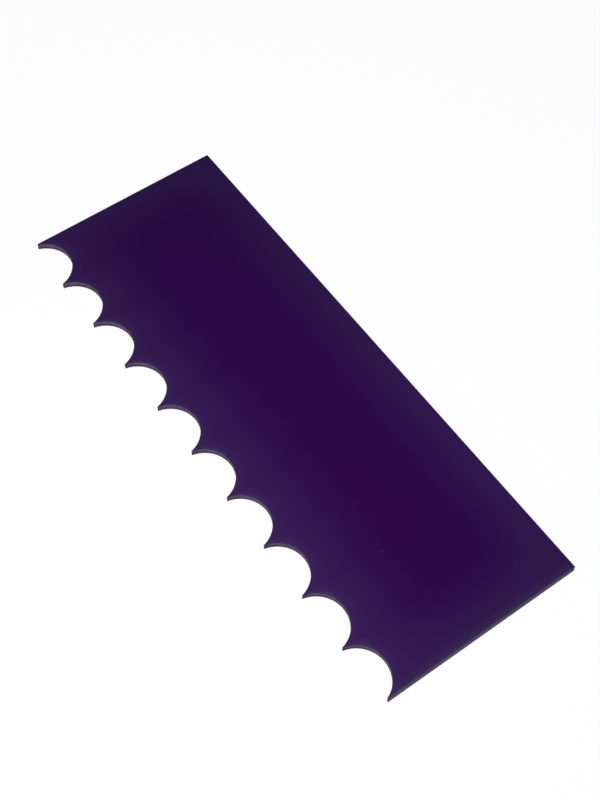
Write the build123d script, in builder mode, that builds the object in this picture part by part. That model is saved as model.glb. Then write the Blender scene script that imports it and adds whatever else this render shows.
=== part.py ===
from build123d import *

import os
from math import sqrt

# An icing smoother lying flat: one sheet with a straight edge and a scalloped edge.
# X runs along the blade, Y across it towards the straight edge, Z up through the sheet.
# The origin is the centre of the underside.

# Driving dimensions, in millimetres
blade_length = 250.0
blade_width = 90.0
sheet_thickness = 3.0

scallop_count = 10
scallop_depth = 10.0

tip_radius = 0.2
end_tip_radius = 0.4
corner_radius = 0.5
arris = 0.1

half_length = blade_length / 2
straight_edge_y = blade_width / 2
tip_line_y = -blade_width / 2

# The scallops share the whole length of the blade
scallop_pitch = blade_length / scallop_count
half_pitch = scallop_pitch / 2

# A scallop is an arc between two tip rounds that end on the tip line, and its valley lies
# scallop_depth inside that line. Each arc touches its tip rounds on the line of their centres.
centre_distance = (half_pitch**2 + scallop_depth**2) / (2 * scallop_depth)
scallop_radius = centre_distance - tip_radius
scallop_centre_y = tip_line_y + scallop_depth - scallop_radius
tip_centre_y = tip_line_y + tip_radius

# An end tip is rounded between its scallop and the short edge, so it stops short of the tip line
end_centre_distance = scallop_radius + end_tip_radius
end_tip_centre_x = half_length - end_tip_radius
end_tip_rise = sqrt(end_centre_distance**2 - (half_pitch - end_tip_radius) ** 2)
end_tip_centre_y = scallop_centre_y + end_tip_rise


def scallop_centre(index):
    """The centre of a scallop's arc, counted from the left end."""
    return Vector(index * scallop_pitch + half_pitch - half_length, scallop_centre_y)


def tip_centre(index):
    """The centre of the round at the left of a scallop. The first and the last are end tips."""
    if index == 0:
        return Vector(-end_tip_centre_x, end_tip_centre_y)
    if index == scallop_count:
        return Vector(end_tip_centre_x, end_tip_centre_y)
    return Vector(index * scallop_pitch - half_length, tip_centre_y)


def flank(scallop, tip):
    """Where a scallop's arc runs into the round of the tip beside it."""
    centre = scallop_centre(scallop)
    return centre + (tip_centre(tip) - centre).normalized() * scallop_radius


with BuildPart() as scalloped_blade:
    with BuildSketch():
        with BuildLine():
            for index in range(scallop_count):
                valley = scallop_centre(index) + Vector(0, scallop_radius)
                ThreePointArc(flank(index, index), valley, flank(index, index + 1))
            for index in range(1, scallop_count):
                point = tip_centre(index) - Vector(0, tip_radius)
                ThreePointArc(flank(index - 1, index), point, flank(index, index))

            # The short edges run down into the end tips, and up to the straight edge
            left_foot = Vector(-half_length, end_tip_centre_y)
            right_foot = Vector(half_length, end_tip_centre_y)
            left_corner = Vector(-half_length, straight_edge_y)
            right_corner = Vector(half_length, straight_edge_y)
            downwards = -Axis.Y.direction
            TangentArc(left_foot, flank(0, 0), tangent=downwards)
            TangentArc(right_foot, flank(scallop_count - 1, scallop_count), tangent=downwards)
            Polyline(left_foot, left_corner, right_corner, right_foot)
        make_face()
        fillet(vertices().group_by(Axis.Y)[-1], corner_radius)
    extrude(amount=sheet_thickness)

    # Both faces meet the cut wall in a fine broken edge
    rims = edges().group_by(Axis.Z)
    chamfer(rims[0] + rims[-1], arris)

scalloped_blade.part.label = "scalloped_blade"

os.makedirs("parts", exist_ok=True)
export_step(scalloped_blade.part, "parts/scalloped_blade.step")

# What the driving dimensions come to, for reading
print("scallop pitch", round(scallop_pitch, 3), "radius", round(scallop_radius, 3))
print("end tips stop short by", round(end_tip_centre_y - end_tip_radius - tip_line_y, 3))
print("box", scalloped_blade.part.bounding_box().size)
print("volume", round(scalloped_blade.part.volume, 1))
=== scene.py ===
from math import atan2, ceil, cos, pi, radians, sin, sqrt, tau

import bpy
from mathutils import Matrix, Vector, noise


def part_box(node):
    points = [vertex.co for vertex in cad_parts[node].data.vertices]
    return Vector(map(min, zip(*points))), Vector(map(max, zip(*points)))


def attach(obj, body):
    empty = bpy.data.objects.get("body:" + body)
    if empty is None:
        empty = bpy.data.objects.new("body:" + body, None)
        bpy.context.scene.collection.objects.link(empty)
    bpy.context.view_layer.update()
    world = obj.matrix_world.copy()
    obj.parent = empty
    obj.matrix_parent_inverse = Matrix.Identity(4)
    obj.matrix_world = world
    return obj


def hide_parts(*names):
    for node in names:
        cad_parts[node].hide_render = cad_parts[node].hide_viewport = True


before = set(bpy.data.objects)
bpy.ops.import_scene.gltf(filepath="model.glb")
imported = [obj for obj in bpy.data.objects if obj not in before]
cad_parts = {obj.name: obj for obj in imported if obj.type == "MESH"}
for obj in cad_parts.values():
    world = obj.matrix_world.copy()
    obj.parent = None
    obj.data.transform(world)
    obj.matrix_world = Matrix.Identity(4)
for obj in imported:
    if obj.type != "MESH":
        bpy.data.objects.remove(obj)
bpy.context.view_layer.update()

mm = 0.001
quarter_turn = pi / 2
half_turn = pi

# The blade's box comes from the frame, and the sizes of the cut are named here
low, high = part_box("scalloped_blade")
half_length = high.x
half_width = high.y
thickness = high.z

scallop_count = 10
scallop_depth = 10 * mm
tip_radius = 0.2 * mm
end_tip_radius = 0.4 * mm
corner_radius = 0.5 * mm

scallop_pitch = 2 * half_length / scallop_count
half_pitch = scallop_pitch / 2
centre_distance = (half_pitch**2 + scallop_depth**2) / (2 * scallop_depth)
scallop_radius = centre_distance - tip_radius
scallop_centre_y = scallop_depth - half_width - scallop_radius

# The cut wall: an arris melted round by the cutting beam, and a ripple left along the wall
arris_radius = 0.12 * mm
arris_steps = 4
wall_rows = 8
along_step = 0.4 * mm
tip_turn = radians(12)
ripple_height = 0.012 * mm
ripple_length = 1.3 * mm
ripple_run = 6 * mm

# The side that the painted light comes from, and how quickly a wall turned away from it stops catching it
painted_light_azimuth = radians(-45)
towards_painted_light = Vector((cos(painted_light_azimuth), sin(painted_light_azimuth), 0))
painted_light_falloff = 6

acrylic_ior = 1.49


def scallop_centre(index):
    return Vector((index * scallop_pitch + half_pitch - half_length, scallop_centre_y))


def tip_centre(index):
    """The centre of the round at the left of a scallop. The first and the last are end tips."""
    if index in (0, scallop_count):
        side = -1 if index == 0 else 1
        reach = scallop_radius + end_tip_radius
        rise = sqrt(reach**2 - (half_pitch - end_tip_radius) ** 2)
        return Vector((side * (half_length - end_tip_radius), scallop_centre_y + rise))
    return Vector((index * scallop_pitch - half_length, tip_radius - half_width))


def heading(start, finish):
    """The angle of the way from one point to another, from 0 to a full turn."""
    way = finish - start
    return atan2(way.y, way.x) % tau


def arc(centre, radius, start, stop, side=1):
    """Points and outward normals along an arc, without its last point. Side -1 is a hollow arc."""
    turn = abs(stop - start)
    count = max(ceil(radius * turn / along_step), ceil(turn / tip_turn))
    for step in range(count):
        angle = start + (stop - start) * step / count
        ray = Vector((cos(angle), sin(angle)))
        yield centre + ray * radius, ray * side


def run(start, finish, normal):
    """Points and outward normals along a straight edge, without its last point."""
    count = ceil((finish - start).length / along_step)
    for step in range(count):
        yield start.lerp(finish, step / count), normal


def outline():
    """The blade's outline, counted anticlockwise from the foot of its left end."""
    for index in range(scallop_count + 1):
        tip = tip_centre(index)
        radius = end_tip_radius if index in (0, scallop_count) else tip_radius
        start = half_turn if index == 0 else heading(tip, scallop_centre(index - 1))
        stop = tau if index == scallop_count else heading(tip, scallop_centre(index))
        yield from arc(tip, radius, start, stop)
        if index < scallop_count:
            centre = scallop_centre(index)
            start = heading(centre, tip)
            stop = heading(centre, tip_centre(index + 1))
            yield from arc(centre, scallop_radius, start, stop, side=-1)

    foot_y = tip_centre(0).y
    corner_x = half_length - corner_radius
    corner_y = half_width - corner_radius
    yield from run(Vector((half_length, foot_y)), Vector((half_length, corner_y)), Vector((1, 0)))
    yield from arc(Vector((corner_x, corner_y)), corner_radius, 0, quarter_turn)
    yield from run(Vector((corner_x, half_width)), Vector((-corner_x, half_width)), Vector((0, 1)))
    yield from arc(Vector((-corner_x, corner_y)), corner_radius, quarter_turn, half_turn)
    yield from run(Vector((-half_length, corner_y)), Vector((-half_length, foot_y)), Vector((-1, 0)))


def wall_profile():
    """How far in, how high and how rippled each ring of the wall is, from the upper face down."""
    for step in range(arris_steps):
        angle = quarter_turn * step / arris_steps
        yield arris_radius * (1 - sin(angle)), thickness - arris_radius * (1 - cos(angle)), 0
    for step in range(wall_rows + 1):
        share = step / wall_rows
        yield 0, thickness - arris_radius - share * (thickness - 2 * arris_radius), sin(pi * share)
    for step in reversed(range(arris_steps)):
        angle = quarter_turn * step / arris_steps
        yield arris_radius * (1 - sin(angle)), arris_radius * (1 - cos(angle)), 0


def ripple(point, z):
    """How far the cutting beam's ripple stands out of the wall, always inwards of the true size."""
    wave = noise.noise(Vector((point.x / ripple_length, point.y / ripple_length, z / ripple_run)))
    return -ripple_height * (1 + wave) / 2


def blade_mesh():
    """The blade with its melted arris and rippled wall: two flat faces and the rings between."""
    wall_material = 1
    rim = list(outline())
    around = len(rim)
    vertices = []
    for inset, z, rippled in wall_profile():
        for point, normal in rim:
            place = point + normal * (rippled * ripple(point, z) - inset)
            vertices.append((place.x, place.y, z))
    rings = len(vertices) // around

    upper_face = list(range(around))
    underside = list(reversed(range(len(vertices) - around, len(vertices))))
    faces = [upper_face, underside]
    for ring in range(rings - 1):
        for step in range(around):
            upper = ring * around + step
            upper_next = ring * around + (step + 1) % around
            faces.append((upper, upper + around, upper_next + around, upper_next))
    mesh = bpy.data.meshes.new("blade")
    mesh.from_pydata(vertices, [], faces)
    mesh.shade_smooth()

    # The two flat faces and the upper arris are glossy, and the rest is the cut wall
    glossy_count = 2 + arris_steps * around
    for polygon in mesh.polygons[glossy_count:]:
        polygon.material_index = wall_material
    mesh.update()
    return mesh


class Nodes:
    """A material's or world's nodes, with short ways to add one and wire it."""

    def __init__(self, owner):
        owner.use_nodes = True
        self.tree = owner.node_tree
        self.tree.nodes.clear()

    def add(self, kind, settings=None, **inputs):
        """Adds a node. An input is a value, or a socket to wire from. Input i2 is the node's third."""
        node = self.tree.nodes.new(kind)
        for name, value in (settings or {}).items():
            setattr(node, name, value)
        for name, value in inputs.items():
            key = int(name[1:]) if name[1:].isdigit() else name.replace("_", " ")
            socket = node.inputs[key]
            if isinstance(value, bpy.types.NodeSocket):
                self.tree.links.new(value, socket)
            else:
                socket.default_value = value
        return node

    def math(self, operation, *values):
        inputs = {f"i{index}": value for index, value in enumerate(values)}
        return self.add("ShaderNodeMath", {"operation": operation}, **inputs).outputs[0]

    def mix(self, share, first, second):
        """Two colours mixed. The node's colours are its inputs 6 and 7 and its output 2."""
        return self.add("ShaderNodeMix", {"data_type": "RGBA"}, i0=share, i6=first, i7=second).outputs[2]

    def remap(self, value, source, result, interpolation="LINEAR"):
        """A value taken from one range to another, and held within it."""
        node = self.add("ShaderNodeMapRange", {"interpolation_type": interpolation}, Value=value,
                        From_Min=source[0], From_Max=source[1], To_Min=result[0], To_Max=result[1])
        return node.outputs[0]

    def shaded(self, colour, shade):
        """A colour made lighter or darker."""
        node = self.add("ShaderNodeVectorMath", {"operation": "SCALE"}, i0=colour, Scale=shade)
        return node.outputs[0]

    def bump(self, height, strength, distance):
        return self.add("ShaderNodeBump", Height=height, Strength=strength, Distance=distance).outputs[0]

    def noise(self, place, scale, detail):
        return self.add("ShaderNodeTexNoise", Vector=place, Scale=scale, Detail=detail).outputs["Fac"]

    def place(self, stretch=(1, 1, 1), turn=0.0):
        """The piece's own coordinates in metres, stretched, and turned about Z."""
        source = self.add("ShaderNodeTexCoord").outputs["Object"]
        return self.add("ShaderNodeMapping", Vector=source, Scale=stretch, Rotation=(0, 0, turn)).outputs[0]


def srgb(red, green, blue):
    """A colour as a screen shows it, from 0 to 255, as the linear colour that a node takes."""
    def linear(value):
        value /= 255
        return value / 12.92 if value <= 0.04045 else ((value + 0.055) / 1.055) ** 2.4
    return (linear(red), linear(green), linear(blue), 1.0)


white = srgb(255, 255, 255)


def length(nodes, across, along):
    """How long a way in the plane of the sheet is."""
    square = nodes.math("ADD", nodes.math("MULTIPLY", across, across), nodes.math("MULTIPLY", along, along))
    return nodes.math("SQRT", square)


def glow(nodes, distance, reach):
    """A soft falloff, one at zero distance and nothing far off. Along the cut walls it carries the painted
    glow.
    """
    share = nodes.math("DIVIDE", distance, reach)
    square = nodes.math("MULTIPLY", share, share)
    return nodes.math("EXPONENT", nodes.math("MULTIPLY", square, -1.0))


def tint(nodes, colour, other, distance, reach, share):
    """A colour tinted by another: by the given share where the distance is zero, and not at all far off."""
    return nodes.mix(nodes.math("MULTIPLY", glow(nodes, distance, reach), share), colour, other)


def catch(nodes, facing):
    """How much of the painted side light a wall catches: all where it faces it, nothing where it turns
    away.
    """
    return nodes.math("POWER", nodes.math("MAXIMUM", facing, 0.0), painted_light_falloff)


def face_colour(nodes):
    """Deep purple with painted light: a painted glow near the cut edges, painted highlights on rims facing
    the light and along the right end, and two pale specks.
    """
    deep = srgb(44.8, 6, 72.6)
    # Painted light: these rim colours are a painted glow near the cut edges, not the sheet's own colour
    straight_rim_glow = srgb(48, 25, 78)
    straight_reach = 15 * mm
    scallop_rim_glow = srgb(51, 25.5, 79)
    scallop_reach = 17 * mm
    narrow_rim_glow = srgb(60, 38, 90)
    narrow_reach = 2.8 * mm
    narrow_share = 0.38
    # A painted highlight on the scallop rims that face the light
    lit_rim_highlight = srgb(90, 74, 92)
    lit_reach = 1.25 * mm
    lit_share = 0.17
    # A painted glow and a painted highlight line along the right end, which faces the light
    end_rim_glow = srgb(59, 47, 81)
    end_share = 0.5
    rim_highlight_line = srgb(100, 92, 102)
    line_reach = 0.5 * mm
    line_share = 0.42
    cloud_scale = 26.0
    cloud_detail = 3.0
    cloud_shades = (0.95, 1.05)

    # Where each speck lies, and how strongly it shows
    specks = [(77.8 * mm, -10.1 * mm, 0.14), (36.8 * mm, 17.4 * mm, 0.035)]
    speck_radius = 0.4 * mm
    speck = srgb(150, 96, 182)

    here = nodes.add("ShaderNodeSeparateXYZ", Vector=nodes.place())
    x, y = here.outputs["X"], here.outputs["Y"]

    # How far in from each cut, with places across and along taken from the centre of the scallop's arc
    from_right = nodes.math("SUBTRACT", half_length, x)
    from_end = nodes.math("SUBTRACT", half_length, nodes.math("ABSOLUTE", x))
    from_straight = nodes.math("SUBTRACT", half_width, y)
    across = nodes.math("SUBTRACT", nodes.math("WRAP", x, scallop_pitch, 0.0), half_pitch)
    along = nodes.math("SUBTRACT", y, scallop_centre_y)
    radius = length(nodes, across, along)
    from_scallop = nodes.math("SUBTRACT", radius, scallop_radius)

    # A scallop's wall faces its centre, so the painted highlight falls on the side away from the light
    away = nodes.math("ADD", nodes.math("MULTIPLY", across, towards_painted_light.x),
                      nodes.math("MULTIPLY", along, towards_painted_light.y))
    caught = catch(nodes, nodes.math("DIVIDE", nodes.math("MULTIPLY", away, -1.0), radius))

    straight_glow = nodes.math("ADD", glow(nodes, from_end, straight_reach),
                          glow(nodes, from_straight, straight_reach))
    colour = nodes.mix(nodes.math("MINIMUM", straight_glow, 1.0), deep, straight_rim_glow)
    colour = nodes.mix(glow(nodes, from_scallop, scallop_reach), colour, scallop_rim_glow)
    colour = tint(nodes, colour, narrow_rim_glow, from_scallop, narrow_reach, narrow_share)
    lit = nodes.math("MULTIPLY", caught, lit_share)
    colour = tint(nodes, colour, lit_rim_highlight, from_scallop, lit_reach, lit)
    colour = tint(nodes, colour, end_rim_glow, from_right, narrow_reach, end_share)
    colour = tint(nodes, colour, rim_highlight_line, from_right, line_reach, line_share)
    for speck_x, speck_y, speck_share in specks:
        from_speck = length(nodes, nodes.math("SUBTRACT", x, speck_x), nodes.math("SUBTRACT", y, speck_y))
        colour = tint(nodes, colour, speck, from_speck, speck_radius, speck_share)

    cloud = nodes.noise(nodes.place(), cloud_scale, cloud_detail)
    return nodes.shaded(colour, nodes.remap(cloud, (0, 1), cloud_shades))


def face_roughness(nodes):
    """Faint wiping marks: long smears, a little duller than the polished sheet."""
    wipe_stretch = (9, 90, 1)
    wipe_turn = radians(24)
    wipe_scale = 4.0
    wipe_detail = 4.0
    wipe_range = (0.35, 0.75)
    roughness = (0.06, 0.11)

    wiped = nodes.noise(nodes.place(wipe_stretch, wipe_turn), wipe_scale, wipe_detail)
    return nodes.remap(wiped, wipe_range, roughness)


def face_bump(nodes):
    """The slight waviness of the sheet, with hairline scuffs."""
    wave_scale = 18.0
    wave_detail = 1.0
    scuff_stretch = (40, 2600, 1)
    scuff_turn = radians(-37)
    scuff_scale = 1.0
    scuff_detail = 2.0
    scuff_share = 0.01
    strength = 1.0
    distance = 0.02 * mm

    wave = nodes.noise(nodes.place(), wave_scale, wave_detail)
    scuff = nodes.noise(nodes.place(scuff_stretch, scuff_turn), scuff_scale, scuff_detail)
    height = nodes.math("ADD", wave, nodes.math("MULTIPLY", scuff, scuff_share))
    return nodes.bump(height, strength, distance)


def acrylic_face():
    """Gloss cast acrylic with painted glow and painted highlights near its cut edges, faint specks, scuffs
    and wiping marks.
    """
    material = bpy.data.materials.new("acrylic_face")
    nodes = Nodes(material)
    shader = nodes.add("ShaderNodeBsdfPrincipled", Base_Color=face_colour(nodes), IOR=acrylic_ior,
                       Roughness=face_roughness(nodes), Normal=face_bump(nodes))
    nodes.add("ShaderNodeOutputMaterial", Surface=shader.outputs[0])
    return material


def acrylic_wall():
    """The laser-cut wall: greyer and duller than the faces, its grey partly a painted reflection of the
    pale floor, with fine upright striations.

    Painted light makes it lighter towards its head and darker towards its foot, with a painted highlight
    near its head where it faces the light.
    """
    # Painted light: a painted highlight at the head, a lighter upper colour as painted reflection, a darker
    # foot as painted shade
    painted_highlight = srgb(98, 81, 114)
    upper = srgb(76, 63, 84)
    shaded_foot = srgb(61, 51, 67)
    painted_highlight_range = (0.5, 0.95)
    streak_stretch = (1, 1, 0.06)
    streak_scale = 3200.0
    streak_detail = 3.0
    streak_range = (0.25, 0.75)
    streak_shades = (0.55, 1.45)
    roughness = (0.50, 0.70)
    specular_level = 0.05
    strength = 0.6
    distance = 0.02 * mm

    material = bpy.data.materials.new("acrylic_wall")
    nodes = Nodes(material)
    here = nodes.add("ShaderNodeSeparateXYZ", Vector=nodes.place())
    level = nodes.math("DIVIDE", here.outputs["Z"], thickness)
    painted_highlight_band = nodes.remap(level, painted_highlight_range, (0, 1), "SMOOTHSTEP")
    normal = nodes.add("ShaderNodeNewGeometry").outputs["Normal"]
    facing = nodes.add("ShaderNodeVectorMath", {"operation": "DOT_PRODUCT"}, i0=normal, i1=towards_painted_light)
    caught = catch(nodes, facing.outputs["Value"])
    colour = nodes.mix(level, shaded_foot, upper)
    colour = nodes.mix(nodes.math("MULTIPLY", painted_highlight_band, caught), colour, painted_highlight)

    streak = nodes.noise(nodes.place(streak_stretch), streak_scale, streak_detail)
    colour = nodes.shaded(colour, nodes.remap(streak, streak_range, streak_shades))
    shader = nodes.add("ShaderNodeBsdfPrincipled", Base_Color=colour, IOR=acrylic_ior,
                       Specular_IOR_Level=specular_level, Roughness=nodes.remap(streak, (0, 1), roughness),
                       Normal=nodes.bump(streak, strength, distance))
    nodes.add("ShaderNodeOutputMaterial", Surface=shader.outputs[0])
    return material


def make_blade():
    """The finished blade, which stands for the plain solid."""
    favour_large_faces = 100

    blade = bpy.data.objects.new("blade_finish", blade_mesh())
    bpy.context.scene.collection.objects.link(blade)
    blade.data.materials.append(acrylic_face())
    blade.data.materials.append(acrylic_wall())
    weighted = blade.modifiers.new("even_shading", "WEIGHTED_NORMAL")
    weighted.weight = favour_large_faces
    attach(blade, "root")
    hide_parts("scalloped_blade")


def floor_material():
    """White paper. The camera and gloss see nearly all of it as white, so the shadow on it is faint."""
    paper = srgb(253, 253, 253)
    paper_scale = 900.0
    paper_detail = 3.0
    own_light_share = 0.96

    material = bpy.data.materials.new("floor_white")
    nodes = Nodes(material)
    colour = nodes.mix(nodes.noise(nodes.place(), paper_scale, paper_detail), paper, white)
    diffuse = nodes.add("ShaderNodeBsdfDiffuse", Color=colour)
    lit = nodes.add("ShaderNodeEmission", Color=colour, Strength=1.0)
    ray = nodes.add("ShaderNodeLightPath")
    seen = nodes.math("MAXIMUM", ray.outputs["Is Camera Ray"], nodes.math(
        "MAXIMUM", ray.outputs["Is Glossy Ray"], ray.outputs["Is Transmission Ray"]))
    share = nodes.math("MULTIPLY", seen, own_light_share)
    mixed = nodes.add("ShaderNodeMixShader", i0=share, i1=diffuse.outputs[0], i2=lit.outputs[0])
    nodes.add("ShaderNodeOutputMaterial", Surface=mixed.outputs[0])
    return material


def make_floor():
    """A plain white floor, just under the blade."""
    reach = 3.0
    gap = 0.02 * mm

    mesh = bpy.data.meshes.new("floor")
    corners = [(-reach, -reach, -gap), (reach, -reach, -gap), (reach, reach, -gap), (-reach, reach, -gap)]
    mesh.from_pydata(corners, [], [(0, 1, 2, 3)])
    mesh.materials.append(floor_material())
    floor = bpy.data.objects.new("floor", mesh)
    bpy.context.scene.collection.objects.link(floor)


def aim(thing, place, target, roll=0.0):
    """Puts a lamp or camera at a place, looking at a target, its right side raised by a roll."""
    thing.location = place
    thing.rotation_euler = (Vector(target) - Vector(place)).to_track_quat("-Z", "Y").to_euler()
    thing.rotation_euler.rotate_axis("Z", roll)


def softbox(name, azimuth, elevation, distance, size, power):
    """A square lamp aimed at the blade, in degrees, metres and watts.

    Its azimuth is turned from +X towards +Y. Gloss doesn't show it, so no hard-edged patch lies on the
    blade, and nor does the camera.
    """
    lamp = bpy.data.lights.new(name, "AREA")
    lamp.shape = "SQUARE"
    lamp.size = size
    lamp.energy = power
    holder = bpy.data.objects.new(name, lamp)
    holder.visible_glossy = False
    holder.visible_camera = False
    bpy.context.scene.collection.objects.link(holder)
    a, e = radians(azimuth), radians(elevation)
    place = Vector((cos(a) * cos(e), sin(a) * cos(e), sin(e))) * distance
    aim(holder, place, (0, 0, 0))


def make_world():
    """A pale studio round the horizon under a dark ceiling, the same for every ray."""
    strengths = (0.02, 0.98)
    fade = 0.32

    world = bpy.data.worlds.new("studio")
    bpy.context.scene.world = world
    nodes = Nodes(world)
    way = nodes.add("ShaderNodeSeparateXYZ", Vector=nodes.add("ShaderNodeTexCoord").outputs["Generated"])
    strength = nodes.remap(glow(nodes, way.outputs["Z"], fade), (0, 1), strengths)
    background = nodes.add("ShaderNodeBackground", Color=white, Strength=strength)
    nodes.add("ShaderNodeOutputWorld", Surface=background.outputs[0])


def make_camera():
    """The photograph's viewpoint, found from the blade's outline in it."""
    place = (0.23681, -0.16191, 0.46646)
    target = (0.00395, 0.00463, 0.0)
    roll = radians(0.1074)

    # A camera's own sizes are in millimetres
    sensor_height = 36
    focal_length = 60.820

    data = bpy.data.cameras.new("photograph")
    data.sensor_fit = "VERTICAL"
    data.sensor_height = sensor_height
    data.lens = focal_length
    camera = bpy.data.objects.new("photograph", data)
    bpy.context.scene.collection.objects.link(camera)
    aim(camera, place, target, roll)
    bpy.context.scene.camera = camera


make_blade()
make_floor()
softbox("key", azimuth=-54, elevation=67, distance=0.33, size=0.2, power=0.975)
softbox("low", azimuth=-100, elevation=20, distance=0.8, size=0.4, power=1.76)
softbox("fill", azimuth=60, elevation=50, distance=1.2, size=0.7, power=0.8)
softbox("rear", azimuth=-130, elevation=50, distance=1.2, size=0.7, power=0.8)
make_world()
make_camera()

bpy.context.scene.view_settings.view_transform = "Standard"
